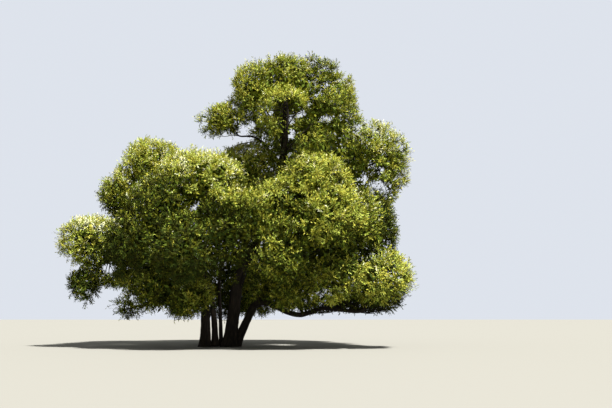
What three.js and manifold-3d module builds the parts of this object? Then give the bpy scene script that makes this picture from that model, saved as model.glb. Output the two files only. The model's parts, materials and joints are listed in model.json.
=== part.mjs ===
// A broad old willow that stands alone: five stems from one root, boughs that leave them at
// every height, and rounded masses of foliage at the boughs' ends. Millimetres, +Z up, +X to
// the right and -Y towards the viewer. The origin is on the flat cut under the main stem.
import * as THREE from "three";
import { mergeVertices } from "three/addons/utils/BufferGeometryUtils.js";
import Module from "manifold-3d";

const wasm = await Module();
wasm.setup();

// Clearances: where one solid is carried by another, between foliage and any other limb, and
// from the border between two masses
const SEAT = 0.3;
const TWIG_CLEARANCE = 30;
const SPACE_MARGIN = 12;

// The foot of each stem, where it widens into its roots
const FLARE = { share: 0.45, height: 380, lobes: 5, ridge: 0.1, rings: [0.045, 0.1] };
const BELOW_GROUND = 400;

// Where a bough leaves its parent it is thicker by this share, over this many of its radii. Its
// second ring lies just outside the parent.
const COLLAR = { share: 0.35, radii: 1.6, ring: 1.2 };

// A limb grows thinner as this power of what is left of its length
const TAPER = 0.85;

// How finely the limbs are cut
const STEM_CUT = { sides: 9, steps: 9 };
const BOUGH_CUT = { sides: 6, steps: 6 };
const FINE_STEPS = 60;

// How a bough with no points of its own runs, as shares of its length
const BOUGH_RUN = { start: 0.34, end: 0.3, followParent: 0.55, lift: 0.35, wander: 0.025 };
const ENTRY_DEPTH = 0.86;

// How neighbouring masses run together in the valley between them: how fast each one thins out
// past its surface, how far a mass may pass its own ellipsoid, and how closely that is worked out
const BLEND = { sharpness: 2.5, most: 1.35, halvings: 6 };

// How foliage grows in each mass. Shares are of how far its space reaches that way.
const CROWN_CENTRE = new THREE.Vector3(600, 300, 5500);
const TWIG = { tries: 18, most: 12, jitter: 0.17, rootLow: 0.55, rootHigh: 0.95, radii: [26, 15] };
const TWIG_END = { least: 0.5, spread: 0.14, arch: 0.03 };
const SPRAY = { tip: 0.99, lean: 0.38, width: 0.66, thick: 0.1, widest: 0.5, arch: 0.05 };
const CORE = { size: 0.67, detail: 1, lumps: 0.14 };
const MASS_STEM = { sides: 4, steps: 4, startInside: 60, thin: 0.82, endShare: 0.3, endRadius: 26 };
const STEM_BEND = { at: 0.4, along: 0.12 };

// Small steps in a mass's surface, up to this size, are smoothed away
const SIMPLER = 4;

// Stems: the points that the centre line passes, and the radius above the root flare and at the tip
const STEMS = [
  {
    name: "stem_main",
    way: [[0, 0, 0], [180, 0, 1800], [460, 0, 3500], [1500, 200, 5750], [2380, 400, 8600],
      [2650, 450, 11100]],
    into: "top_centre",
    radii: [330, 75],
  },
  {
    name: "stem_left",
    way: [[-1200, -100, 0], [-1230, -100, 1800], [-1330, -200, 3600], [-1560, -600, 5700]],
    into: "left_top",
    radii: [255, 85],
  },
  {
    name: "stem_inner",
    way: [[-740, 180, 0], [-870, 240, 1700], [-1330, 600, 3700], [-2450, 1200, 6300]],
    into: "left_back",
    radii: [155, 70],
  },
  {
    name: "stem_slim",
    way: [[-470, 360, 0], [-530, 250, 1700], [-520, -450, 3300], [-200, -1700, 4300]],
    into: "centre_front",
    radii: [100, 50],
  },
  {
    name: "stem_right",
    way: [[230, 60, 0], [830, 40, 1300], [1280, -50, 2200], [2250, -600, 3500], [3400, -1900, 4650]],
    into: "right_front",
    radii: [215, 75],
  },
];

// Boughs: the limb each leaves and how far along it, the mass it carries at its tip, its radius
// at both ends, and any points that it passes on the way
const BOUGHS = [
  { name: "bough_upper_left", from: "stem_main", at: 0.8, into: "lobe_left", radii: [72, 36],
    way: [[1290, 300, 10500], [380, 100, 10600]] },
  { name: "bough_top_left", from: "stem_main", at: 0.87, into: "top_left", radii: [80, 48] },
  { name: "bough_top_right", from: "stem_main", at: 0.84, into: "top_right", radii: [105, 55] },
  { name: "bough_right_upper", from: "stem_main", at: 0.6, into: "right_upper", radii: [140, 68] },
  { name: "bough_back_upper", from: "stem_main", at: 0.66, into: "back_upper", radii: [125, 60] },
  { name: "bough_far_left", from: "stem_left", at: 0.5, into: "far_left", radii: [130, 58] },
  { name: "bough_left_front", from: "stem_left", at: 0.58, into: "left_front", radii: [105, 55] },
  { name: "bough_left_near", from: "stem_left", at: 0.41, into: "left_front_low", radii: [110, 55] },
  { name: "bough_left_low", from: "stem_left", at: 0.33, into: "left_low_front", radii: [115, 55] },
  { name: "bough_left_hanging", from: "stem_inner", at: 0.38, into: "left_low", radii: [95, 48] },
  { name: "bough_left_lump", from: "stem_inner", at: 0.66, into: "left_lump", radii: [80, 42] },
  { name: "bough_low_right", from: "stem_right", at: 0.31, into: "right_lobe", radii: [150, 70],
    way: [[1600, -100, 2170], [2220, -200, 2000], [2810, -300, 1700], [3460, -400, 1560],
      [4040, -520, 1710], [4530, -750, 1880], [5410, -1050, 1800], [6400, -1350, 1740]] },
  { name: "bough_right_low", from: "stem_right", at: 0.52, into: "right_low", radii: [110, 55] },
  { name: "bough_right_outer", from: "stem_right", at: 0.66, into: "right_outer", radii: [115, 55] },
  { name: "bough_right_top", from: "stem_main", at: 0.42, into: "right_top_front", radii: [130, 60] },
  { name: "bough_back_right", from: "stem_main", at: 0.34, into: "back_right", radii: [150, 68] },
  { name: "bough_back_mid", from: "stem_main", at: 0.44, into: "back_mid", radii: [140, 66] },
  { name: "bough_back_left", from: "stem_inner", at: 0.46, into: "back_left", radii: [105, 60] },
  { name: "bough_back_low", from: "stem_main", at: 0.22, into: "back_low", radii: [120, 60] },
];

// Masses of foliage: centre and half size, the limb that carries each, and how far along it.
// An open mass has no core, because the sky shows through it.
const MASSES = [
  { name: "top_centre", centre: [2700, 600, 13200], size: [1900, 2150, 1900], on: "stem_main" },
  { name: "top_left", centre: [1300, 200, 13000], size: [1400, 1800, 1600], on: "bough_top_left" },
  { name: "top_right", centre: [4800, 400, 12050], size: [1720, 2050, 2430], on: "bough_top_right" },
  { name: "top_back", centre: [2650, 3200, 12550], size: [2500, 2400, 2450], on: "stem_main", at: 0.9 },
  { name: "top_front", centre: [2650, -1850, 11350], size: [1550, 1550, 1200],
    on: "stem_main", at: 0.8, open: true },
  { name: "lobe_left", centre: [-420, 0, 11400], size: [1530, 1250, 820], on: "bough_upper_left" },
  { name: "mid_upper", centre: [3450, -1150, 9750], size: [2100, 1800, 1200],
    on: "stem_main", at: 0.68 },
  { name: "right_upper", centre: [7200, 800, 9280], size: [2080, 1950, 2220], on: "bough_right_upper" },
  { name: "centre_back", centre: [650, 1800, 8950], size: [1950, 2250, 1500],
    on: "stem_main", at: 0.62 },
  { name: "back_upper", centre: [4400, 4250, 10500], size: [2800, 2400, 2400], on: "bough_back_upper" },
  { name: "left_back", centre: [-4350, 1750, 9000], size: [1900, 2150, 1800], on: "stem_inner" },
  { name: "left_lump", centre: [-5900, 900, 7600], size: [1200, 1450, 1150], on: "bough_left_lump" },
  { name: "left_top", centre: [-1300, -1650, 7850], size: [2350, 2300, 1800], on: "stem_left" },
  { name: "left_shoulder", centre: [-3100, -2450, 6550], size: [1700, 2050, 1650],
    on: "stem_left", at: 0.7 },
  { name: "far_left", centre: [-6950, -400, 5250], size: [1750, 1800, 1200], on: "bough_far_left" },
  { name: "left_front", centre: [-4200, -2500, 4850], size: [1850, 1900, 1450], on: "bough_left_front" },
  { name: "left_front_low", centre: [-1800, -3800, 4550], size: [1900, 2050, 1600],
    on: "bough_left_near" },
  { name: "left_low", centre: [-6050, 600, 4100], size: [1900, 1800, 1200], on: "bough_left_hanging" },
  { name: "left_hang", centre: [-7100, -800, 3050], size: [850, 900, 1150],
    on: "bough_left_hanging", at: 0.95 },
  { name: "left_low_front", centre: [-3500, -1700, 3050], size: [1900, 1800, 1250],
    on: "bough_left_low" },
  { name: "left_low_spray", centre: [-4750, -1500, 1850], size: [1300, 750, 450],
    on: "bough_left_low", at: 0.92, open: true },
  { name: "left_bottom", centre: [-2050, -1700, 2400], size: [1500, 1650, 1150],
    on: "bough_left_low", at: 0.45 },
  { name: "centre_front", centre: [150, -3550, 5500], size: [1650, 1900, 1900], on: "stem_slim" },
  { name: "right_top_front", centre: [4100, -2650, 7800], size: [1950, 2050, 1450],
    on: "bough_right_top" },
  { name: "right_front_left", centre: [2100, -3200, 6450], size: [1850, 1900, 1450],
    on: "bough_right_top", at: 0.7 },
  { name: "right_front", centre: [4700, -3800, 5850], size: [1900, 2050, 1650], on: "stem_right" },
  { name: "right_outer", centre: [6700, -300, 5850], size: [1650, 2500, 2250],
    on: "bough_right_outer" },
  { name: "right_front_low", centre: [2800, -3600, 4450], size: [1800, 1900, 1400],
    on: "stem_right", at: 0.78 },
  { name: "right_low", centre: [5100, -2600, 3750], size: [1900, 1900, 1680], on: "bough_right_low" },
  { name: "right_lobe", centre: [7150, -1750, 3280], size: [2150, 2050, 1330], on: "bough_low_right" },
  { name: "right_under", centre: [2900, -1100, 2900], size: [2400, 1500, 1050],
    on: "bough_low_right", at: 0.42 },
  { name: "back_left", centre: [-4100, 4000, 6250], size: [2900, 2400, 2650], on: "bough_back_left" },
  { name: "back_mid", centre: [-350, 4900, 7550], size: [3000, 2550, 2850], on: "bough_back_mid" },
  { name: "back_right", centre: [4200, 4550, 6450], size: [3100, 2700, 2950], on: "bough_back_right" },
  { name: "back_low", centre: [500, 4300, 3500], size: [3100, 2400, 2100], on: "bough_back_low" },
  { name: "back_left_low", centre: [-3000, 3300, 3600], size: [2300, 2200, 1850],
    on: "bough_back_left", at: 0.6 },
];

const BARK = new THREE.MeshStandardMaterial({ color: 0x4a3d30, roughness: 0.95, metalness: 0 });
const LEAVES = new THREE.MeshStandardMaterial({ color: 0x7f9a35, roughness: 0.6, metalness: 0 });
const DARK_LEAVES = new THREE.MeshStandardMaterial({ color: 0x55702a, roughness: 0.65, metalness: 0 });
const SHADED = { below: 3500, behind: 2000 };

const UP = new THREE.Vector3(0, 0, 1);
const GOLDEN_ANGLE = Math.PI * (3 - Math.sqrt(5));
const vector = (list) => new THREE.Vector3(...list);
const mix = (a, b, share) => a.clone().lerp(b, share);

// The seeded rule: a fixed number from 0 to 1 for each pair of numbers.
function chance(a, b) {
  const wave = Math.sin(a * 127.1 + b * 311.7) * 43758.5453;
  return wave - Math.floor(wave);
}

// Where each use of the rule starts to count
const DRAWS = { direction: 0, lump: 200, twigEnd: 300, lean: 400 };

// A vector whose three parts are each from -1 to 1.
function wobble(a, b) {
  const shares = new THREE.Vector3(chance(a, b), chance(a, b + 50), chance(a, b + 100));
  return shares.multiplyScalar(2).subScalar(1);
}

// Any unit vector square to the given one, turned about it by an angle.
function sideways(direction, angle) {
  const helper = Math.abs(direction.z) < 0.9 ? UP : new THREE.Vector3(1, 0, 0);
  return new THREE.Vector3().crossVectors(helper, direction).normalize().applyAxisAngle(direction, angle);
}

// Centre lines

function lengthOf(line) {
  return line.reduce((sum, p, i) => (i ? sum + p.distanceTo(line[i - 1]) : 0), 0);
}

// The same line as evenly spaced points.
function evenly(points, count) {
  const lengths = [0];
  for (let i = 1; i < points.length; i++) lengths.push(lengths[i - 1] + points[i].distanceTo(points[i - 1]));
  const total = lengths[lengths.length - 1];
  let k = 1;
  return Array.from({ length: count + 1 }, (_, i) => {
    const wanted = (total * i) / count;
    while (k < points.length - 1 && lengths[k] < wanted) k++;
    return mix(points[k - 1], points[k], (wanted - lengths[k - 1]) / (lengths[k] - lengths[k - 1]));
  });
}

function throughPoints(way) {
  return evenly(new THREE.CatmullRomCurve3(way, false, "catmullrom").getPoints(FINE_STEPS * 4), FINE_STEPS);
}

function pointOn(limb, share) {
  const place = share * FINE_STEPS;
  const k = Math.min(Math.floor(place), FINE_STEPS - 1);
  return mix(limb.line[k], limb.line[k + 1], place - k);
}

function headingOn(limb, share) {
  const k = Math.min(Math.floor(share * FINE_STEPS), FINE_STEPS - 1);
  return limb.line[k + 1].clone().sub(limb.line[k]).normalize();
}

function radiusOn(limb, share) {
  const [thick, thin] = limb.radii;
  return thin + (thick - thin) * Math.pow(1 - share, TAPER);
}

// Where a limb that comes from a point enters the mass.
function entryOf(mass, comingFrom) {
  const inward = comingFrom.clone().sub(mass.middle);
  const scaled = inward.clone().divide(mass.half).length();
  return mass.middle.clone().addScaledVector(inward, ENTRY_DEPTH / scaled);
}

function stemLine(stem) {
  const way = stem.way.map(vector);
  way.push(entryOf(massNamed(stem.into), way[way.length - 1]));
  return throughPoints(way);
}

function boughLine(bough) {
  const parent = limbNamed(bough.from);
  const start = pointOn(parent, bough.at);
  const mass = massNamed(bough.into);
  if (bough.way) {
    const way = [start, ...bough.way.map(vector)];
    way.push(entryOf(mass, way[way.length - 1]));
    return throughPoints(way);
  }
  const end = entryOf(mass, start);
  const length = end.distanceTo(start);
  const straight = end.clone().sub(start).normalize();
  const leaving = mix(straight, headingOn(parent, bough.at), BOUGH_RUN.followParent).normalize();
  const arriving = mass.middle.clone().sub(end).normalize().addScaledVector(UP, BOUGH_RUN.lift).normalize();
  const curve = new THREE.CubicBezierCurve3(
    start,
    start.clone().addScaledVector(leaving, length * BOUGH_RUN.start),
    end.clone().addScaledVector(arriving, -length * BOUGH_RUN.end),
    end,
  );
  const across = sideways(straight, BOUGHS.indexOf(bough));
  const points = curve.getPoints(FINE_STEPS * 4).map((p, i, all) => {
    const share = i / (all.length - 1);
    const sway = Math.sin(share * Math.PI * 3) * Math.sin(share * Math.PI);
    return p.addScaledVector(across, sway * length * BOUGH_RUN.wander);
  });
  return evenly(points, FINE_STEPS);
}

// Solids

function solidOf(geometry) {
  const merged = mergeVertices(geometry, 1e-3);
  const mesh = new wasm.Mesh({
    numProp: 3,
    vertProperties: merged.attributes.position.array,
    triVerts: new Uint32Array(merged.index.array),
  });
  return new wasm.Manifold(mesh);
}

function geometryOf(solid) {
  const mesh = solid.getMesh();
  const geometry = new THREE.BufferGeometry();
  geometry.setAttribute("position", new THREE.BufferAttribute(new Float32Array(mesh.vertProperties), 3));
  geometry.setIndex(new THREE.BufferAttribute(new Uint32Array(mesh.triVerts), 1));
  return geometry;
}

// The largest piece, without the loose scraps that a cut leaves.
function largest(solid) {
  return solid.decompose().sort((a, b) => b.volume() - a.volume())[0];
}

function boxesMeet(one, other) {
  const a = one.boundingBox();
  const b = other.boundingBox();
  return [0, 1, 2].every((k) => a.min[k] < b.max[k] && b.min[k] < a.max[k]);
}

// A closed tube along points. section(i, angle) gives a corner of ring i, across and up from its
// centre. With a tip, the last ring closes to that point.
function tube(points, sides, section, tip) {
  const vertices = [];
  const faces = [];
  let heading = points[1].clone().sub(points[0]).normalize();
  let across = sideways(heading, 0);
  points.forEach((point, i) => {
    const before = points[Math.max(i - 1, 0)];
    const after = points[Math.min(i + 1, points.length - 1)];
    heading = after.clone().sub(before).normalize();
    across = across.addScaledVector(heading, -across.dot(heading)).normalize();
    const other = new THREE.Vector3().crossVectors(heading, across);
    for (let k = 0; k < sides; k++) {
      const [x, y] = section(i, (k / sides) * Math.PI * 2);
      vertices.push(...point.clone().addScaledVector(across, x).addScaledVector(other, y).toArray());
    }
  });
  const rings = points.length;
  for (let i = 0; i < rings - 1; i++) {
    for (let k = 0; k < sides; k++) {
      const next = (k + 1) % sides;
      const [a, b, c, d] = [i * sides + k, i * sides + next, (i + 1) * sides + k, (i + 1) * sides + next];
      faces.push(a, b, d, a, d, c);
    }
  }
  const last = (rings - 1) * sides;
  for (let k = 1; k < sides - 1; k++) {
    faces.push(0, k + 1, k);
    if (!tip) faces.push(last, last + k, last + k + 1);
  }
  if (tip) {
    vertices.push(...tip.toArray());
    for (let k = 0; k < sides; k++) faces.push(last + k, last + ((k + 1) % sides), rings * sides);
  }
  const geometry = new THREE.BufferGeometry();
  geometry.setAttribute("position", new THREE.BufferAttribute(new Float32Array(vertices), 3));
  geometry.setIndex(faces);
  return solidOf(geometry);
}

const round = (radius, angle) => [Math.cos(angle) * radius, Math.sin(angle) * radius];

// A limb's solid, thicker all over by grow. The tip is longer by grow too. A stem starts below
// the ground, and a bough at its parent's centre line.
function limbSolid(limb, grow) {
  const cut = limb.from ? BOUGH_CUT : STEM_CUT;
  const shares = Array.from({ length: cut.steps + 1 }, (_, i) => i / cut.steps);
  const near = limb.from ? [(limb.sunk * COLLAR.ring) / limb.length] : FLARE.rings;
  shares.splice(1, 0, ...near);
  const points = shares.map((share) => pointOn(limb, share));
  points[points.length - 1].addScaledVector(headingOn(limb, 1), grow);
  if (!limb.from) {
    shares.unshift(0);
    points.unshift(pointOn(limb, 0).addScaledVector(headingOn(limb, 0), -BELOW_GROUND));
  }
  return tube(points, cut.sides, (i, angle) => {
    const radius = radiusOn(limb, shares[i]);
    if (limb.from) {
      const out = Math.max(shares[i] * limb.length - limb.sunk, 0);
      return round(radius * (1 + COLLAR.share * Math.exp(-out / (radius * COLLAR.radii))) + grow, angle);
    }
    const fade = Math.exp(-Math.max(points[i].z, 0) / FLARE.height);
    const ridge = FLARE.ridge * Math.cos(angle * FLARE.lobes + limb.number);
    return round(radius * (1 + fade * (FLARE.share + ridge)) + grow, angle);
  });
}

// A three-sided twig that runs from its root to its end and on into a leafy spray: a blade that
// is widest before its middle and bows a little.
function twigWithSpray(root, end, tip) {
  const length = tip.distanceTo(end);
  const widest = mix(end, tip, SPRAY.widest).addScaledVector(UP, length * SPRAY.arch);
  const rings = [root, end, widest];
  const solid = tube(rings, 3, (ring, angle) => {
    if (ring < 2) return round(TWIG.radii[ring], angle);
    return [(Math.cos(angle) * length * SPRAY.width) / 2, (Math.sin(angle) * length * SPRAY.thick) / 2];
  }, tip);
  return { solid, samples: [end, mix(end, widest, 0.5), widest, mix(widest, tip, 0.5), tip] };
}

// The space of each mass

// How full the crown is at a point. The masses add up, and the crown's surface is where they make 1.
function fullnessAt(point) {
  return MASSES.reduce((sum, mass) => {
    const out = point.clone().sub(mass.middle).divide(mass.half).lengthSq();
    return sum + Math.exp(BLEND.sharpness * (1 - out));
  }, 0);
}

// Each mass keeps on its own side of a flat border with each neighbour.
function bordersOf(mass) {
  return MASSES.filter((other) => other !== mass).flatMap((other) => {
    const towards = other.middle.clone().sub(mass.middle);
    const apart = towards.length();
    towards.divideScalar(apart);
    const offset = (apart * apart + mass.radius ** 2 - other.radius ** 2) / (2 * apart) - SPACE_MARGIN;
    return offset < Math.max(...mass.size) * BLEND.most ? [{ towards, offset }] : [];
  });
}

// How far the space goes from its centre in a direction: past the mass's own ellipsoid where its
// neighbours fill the valley beside it, and no further than a border.
function reachOf(mass, direction) {
  let inside = 1 / direction.clone().divide(mass.half).length();
  let outside = inside * BLEND.most;
  for (let i = 0; i < BLEND.halvings; i++) {
    const between = (inside + outside) / 2;
    if (fullnessAt(mass.middle.clone().addScaledVector(direction, between)) > 1) inside = between;
    else outside = between;
  }
  return mass.borders.reduce((least, b) => {
    const slope = direction.dot(b.towards);
    return slope > 1e-6 ? Math.min(least, b.offset / slope) : least;
  }, inside);
}

function insideSpace(mass, point) {
  const out = point.clone().sub(mass.middle);
  return out.length() < reachOf(mass, out.clone().normalize());
}

// Whether points keep clear of every limb, and of the stems of the other masses.
function clearOfLimbs(points, mass) {
  return obstacles.every((o) => {
    if (o.mass === mass) return true;
    return points.every((p) => {
      if (p.distanceToSquared(o.ball.center) > (o.ball.radius + o.radius + TWIG_CLEARANCE) ** 2) return true;
      const segment = new THREE.Line3();
      const nearest = new THREE.Vector3();
      return o.line.every((q, i) => {
        if (!i) return true;
        segment.set(o.line[i - 1], q).closestPointToPoint(p, true, nearest);
        return nearest.distanceTo(p) > o.radiusAt(i / (o.line.length - 1)) + TWIG_CLEARANCE;
      });
    });
  });
}

// Each mass's own stem runs on from its limb to its middle and a little past it.
function massStemLine(mass) {
  const limb = limbNamed(mass.on);
  const share = mass.at ?? 1;
  const start = pointOn(limb, share);
  const heading = mass.at ? mass.middle.clone().sub(start).normalize() : headingOn(limb, 1);
  const from = mass.at ? start : start.clone().addScaledVector(heading, -MASS_STEM.startInside);
  const bend = mix(start, mass.middle, STEM_BEND.at);
  bend.addScaledVector(heading, start.distanceTo(mass.middle) * STEM_BEND.along);
  const outward = mass.middle.clone().sub(start).normalize();
  const end = mass.middle.clone().addScaledVector(outward, reachOf(mass, outward) * MASS_STEM.endShare);
  const way = [from, bend, mass.middle.clone(), end];
  return new THREE.CatmullRomCurve3(way, false, "catmullrom").getPoints(MASS_STEM.steps);
}

function massStemRadius(mass, share) {
  const limb = limbNamed(mass.on);
  const start = limb.radii[1] * MASS_STEM.thin;
  return start + (MASS_STEM.endRadius - start) * share;
}

function massStemSolid(mass, grow) {
  const last = mass.stemLine.length - 1;
  const section = (i, angle) => round(massStemRadius(mass, i / last) + grow, angle);
  return tube(mass.stemLine, MASS_STEM.sides, section);
}

// Directions from the middle of a mass, spread on a spiral that starts at the crown's outside.
function directionsOf(mass, number) {
  const outward = mass.middle.clone().sub(CROWN_CENTRE).normalize();
  const across = sideways(outward, 0);
  const other = new THREE.Vector3().crossVectors(outward, across);
  return Array.from({ length: TWIG.tries }, (_, i) => {
    const height = 1 - (2 * i) / (TWIG.tries - 0.5);
    const ring = Math.sqrt(Math.max(0, 1 - height * height));
    const angle = i * GOLDEN_ANGLE + number;
    return outward
      .clone()
      .multiplyScalar(height)
      .addScaledVector(across, Math.cos(angle) * ring)
      .addScaledVector(other, Math.sin(angle) * ring)
      .addScaledVector(wobble(number, DRAWS.direction + i), i ? TWIG.jitter : 0)
      .normalize();
  });
}

function coreOf(mass, number) {
  const geometry = new THREE.IcosahedronGeometry(1, CORE.detail);
  geometry.deleteAttribute("normal");
  geometry.deleteAttribute("uv");
  const merged = mergeVertices(geometry, 1e-4);
  const place = merged.attributes.position;
  for (let i = 0; i < place.count; i++) {
    const direction = new THREE.Vector3().fromBufferAttribute(place, i).normalize();
    const lump = 1 + CORE.lumps * (2 * chance(number, DRAWS.lump + i) - 1);
    const p = mass.middle.clone().addScaledVector(direction, reachOf(mass, direction) * CORE.size * lump);
    place.setXYZ(i, p.x, p.y, p.z);
  }
  return solidOf(merged);
}

function massSolid(mass, number) {
  const stem = mass.stemLine;
  const stemHeading = stem[stem.length - 1].clone().sub(stem[0]).normalize();
  const pieces = [massStemSolid(mass, 0)];
  if (!mass.open) pieces.push(coreOf(mass, number));
  let grown = 0;
  directionsOf(mass, number).forEach((direction, i) => {
    if (grown >= TWIG.most) return;
    const reach = reachOf(mass, direction);
    const share = TWIG.rootLow + (TWIG.rootHigh - TWIG.rootLow) * (0.5 + 0.5 * direction.dot(stemHeading));
    const k = Math.min(Math.floor(share * (stem.length - 1)), stem.length - 2);
    const root = mix(stem[k], stem[k + 1], share * (stem.length - 1) - k);
    const endReach = reach * (TWIG_END.least + TWIG_END.spread * chance(number, DRAWS.twigEnd + i));
    const end = mass.middle.clone().addScaledVector(direction, endReach);
    end.addScaledVector(UP, reach * TWIG_END.arch);
    const leaning = direction.clone().addScaledVector(wobble(number, DRAWS.lean + i), SPRAY.lean);
    leaning.normalize();
    const tip = mass.middle.clone().addScaledVector(leaning, reachOf(mass, leaning) * SPRAY.tip);
    const made = twigWithSpray(root, end, tip);
    if (!made.samples.every((p) => insideSpace(mass, p)) || !clearOfLimbs(made.samples, mass)) return;
    pieces.push(made.solid);
    grown++;
  });
  let made = wasm.Manifold.union(pieces).asOriginal().simplify(SIMPLER);
  for (const o of obstacles) {
    if (o.mass === mass || !boxesMeet(made, o.clear)) continue;
    made = made.subtract(o.limb === limbNamed(mass.on) ? o.seat : o.clear);
  }
  return largest(made);
}

// Assembly

for (const mass of MASSES) {
  mass.middle = vector(mass.centre);
  mass.half = vector(mass.size);
  mass.radius = Math.cbrt(mass.half.x * mass.half.y * mass.half.z);
}
const massNamed = (name) => MASSES.find((mass) => mass.name === name);
const LIMBS = [...STEMS, ...BOUGHS];
const limbNamed = (name) => LIMBS.find((limb) => limb.name === name);
STEMS.forEach((stem, i) => Object.assign(stem, { number: i, line: stemLine(stem) }));
for (const bough of BOUGHS) {
  bough.line = boughLine(bough);
  bough.length = lengthOf(bough.line);
  bough.sunk = radiusOn(limbNamed(bough.from), bough.at);
}
MASSES.forEach((mass) => (mass.borders = bordersOf(mass)));

const obstacles = [];
for (const limb of LIMBS) {
  let solid = limbSolid(limb, 0);
  if (limb.from) solid = solid.subtract(limbSolid(limbNamed(limb.from), SEAT));
  else solid = solid.trimByPlane([0, 0, 1], 0);
  // A stem's foot gives way to the thicker stems beside it.
  const thicker = limb.from ? [] : STEMS.filter((stem) => stem.radii[0] > limb.radii[0]);
  for (const stem of thicker) solid = solid.subtract(limbSolid(stem, SEAT));
  limb.solid = largest(solid);
  obstacles.push({
    limb,
    line: limb.line,
    ball: new THREE.Sphere().setFromPoints(limb.line),
    radius: limb.radii[0],
    radiusAt: (share) => radiusOn(limb, share),
    seat: limbSolid(limb, SEAT),
    clear: limbSolid(limb, TWIG_CLEARANCE),
  });
}
for (const mass of MASSES) {
  mass.stemLine = massStemLine(mass);
  obstacles.push({
    mass,
    line: mass.stemLine,
    ball: new THREE.Sphere().setFromPoints(mass.stemLine),
    radius: massStemRadius(mass, 0),
    radiusAt: (share) => massStemRadius(mass, share),
    clear: massStemSolid(mass, TWIG_CLEARANCE),
  });
}

// A mesh placed at an anchor, with its geometry counted from there.
function placed(name, solid, anchor, material) {
  const geometry = geometryOf(solid);
  geometry.translate(...anchor.clone().negate().toArray());
  geometry.computeVertexNormals();
  const mesh = new THREE.Mesh(geometry, material);
  mesh.name = name;
  mesh.position.copy(anchor);
  return mesh;
}

const limbs = new THREE.Group();
for (const limb of LIMBS) limbs.add(placed(limb.name, limb.solid, limb.line[0], BARK));
const foliage = new THREE.Group();
MASSES.forEach((mass, i) => {
  const shaded = mass.middle.z < SHADED.below || mass.middle.y > SHADED.behind;
  foliage.add(placed(mass.name, massSolid(mass, i + 1), mass.middle, shaded ? DARK_LEAVES : LEAVES));
});
const tree = new THREE.Group();
tree.add(limbs, foliage);

export default tree;
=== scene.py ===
import json
import math

import bpy
import numpy as np
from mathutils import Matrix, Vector
from numpy.linalg import norm

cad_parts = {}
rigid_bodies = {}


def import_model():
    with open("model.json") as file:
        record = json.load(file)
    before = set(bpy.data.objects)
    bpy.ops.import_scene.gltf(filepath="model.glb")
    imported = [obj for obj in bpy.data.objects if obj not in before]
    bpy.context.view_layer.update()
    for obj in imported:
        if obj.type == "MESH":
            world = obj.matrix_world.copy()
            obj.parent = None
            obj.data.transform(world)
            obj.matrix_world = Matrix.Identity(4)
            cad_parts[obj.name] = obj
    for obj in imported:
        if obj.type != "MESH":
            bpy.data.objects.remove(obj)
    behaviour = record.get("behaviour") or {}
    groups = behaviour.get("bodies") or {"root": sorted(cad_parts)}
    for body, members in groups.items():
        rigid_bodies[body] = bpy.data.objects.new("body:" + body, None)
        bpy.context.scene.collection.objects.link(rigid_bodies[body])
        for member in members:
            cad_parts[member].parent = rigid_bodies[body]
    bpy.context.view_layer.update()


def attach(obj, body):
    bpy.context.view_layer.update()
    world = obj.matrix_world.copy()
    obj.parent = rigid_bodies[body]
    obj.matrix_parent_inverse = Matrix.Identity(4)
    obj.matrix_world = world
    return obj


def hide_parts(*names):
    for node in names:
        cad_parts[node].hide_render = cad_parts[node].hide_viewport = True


# Broad willow with five stems. The limbs and masses follow the same rule as the CAD source, and
# each mass is carried on from its branches to shoots and leaves. Metres, +Z up, ground at z = 0.
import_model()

# Stems, in millimetres: centre line up from the ground, the mass entered at the tip, and the
# radius at both ends
STEMS = [
    ("stem_main", [[0, 0, 0], [180, 0, 1800], [460, 0, 3500], [1500, 200, 5750], [2380, 400, 8600],
                   [2650, 450, 11100]], "top_centre", (330, 75)),
    ("stem_left", [[-1200, -100, 0], [-1230, -100, 1800], [-1330, -200, 3600], [-1560, -600, 5700]],
     "left_top", (255, 85)),
    ("stem_inner", [[-740, 180, 0], [-870, 240, 1700], [-1330, 600, 3700], [-2450, 1200, 6300]],
     "left_back", (155, 70)),
    ("stem_slim", [[-470, 360, 0], [-530, 250, 1700], [-520, -450, 3300], [-200, -1700, 4300]],
     "centre_front", (100, 50)),
    ("stem_right", [[230, 60, 0], [830, 40, 1300], [1280, -50, 2200], [2250, -600, 3500],
                    [3400, -1900, 4650]], "right_front", (215, 75)),
]

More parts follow.
